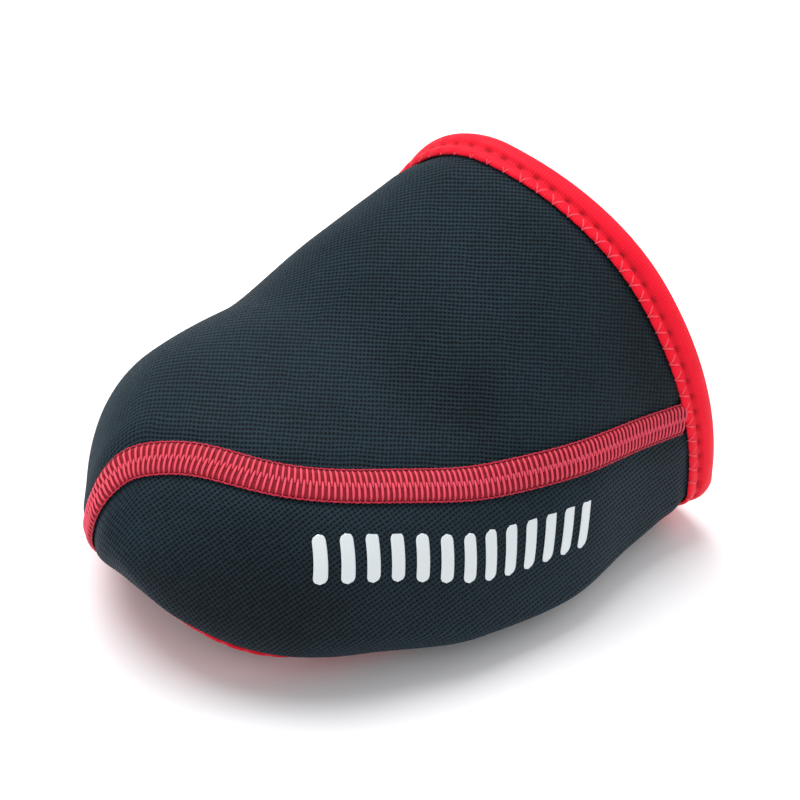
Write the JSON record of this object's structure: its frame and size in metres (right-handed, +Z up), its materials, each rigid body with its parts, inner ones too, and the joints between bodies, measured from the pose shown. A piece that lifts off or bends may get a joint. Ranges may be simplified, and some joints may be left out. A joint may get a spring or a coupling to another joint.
{
  "type": "cycling overshoe",
  "caption": "Stretch toe cover that pulls over the front of a cycling shoe, with a bound collar, a bound window under the sole and one raised seam.",
  "frame": {"origin": "middle of the whole cover's box in plan, on the floor that it stands on", "axes": "+Y towards the heel, so the toe points along -Y; +X towards the outer side of the left foot; +Z up"},
  "size_m": [0.106, 0.1414, 0.0856],
  "materials": {
    "neoprene": "knit-faced foam rubber, matt",
    "binding_tape": "folded stretch tape, matt",
    "seam_thread": "looped polyester thread, soft sheen"
  },
  "bodies": {
    "root": {"upper": "neoprene", "collar_binding": "binding_tape", "window_binding": "binding_tape", "flatlock_seam": "seam_thread"}
  },
  "joints": []
}
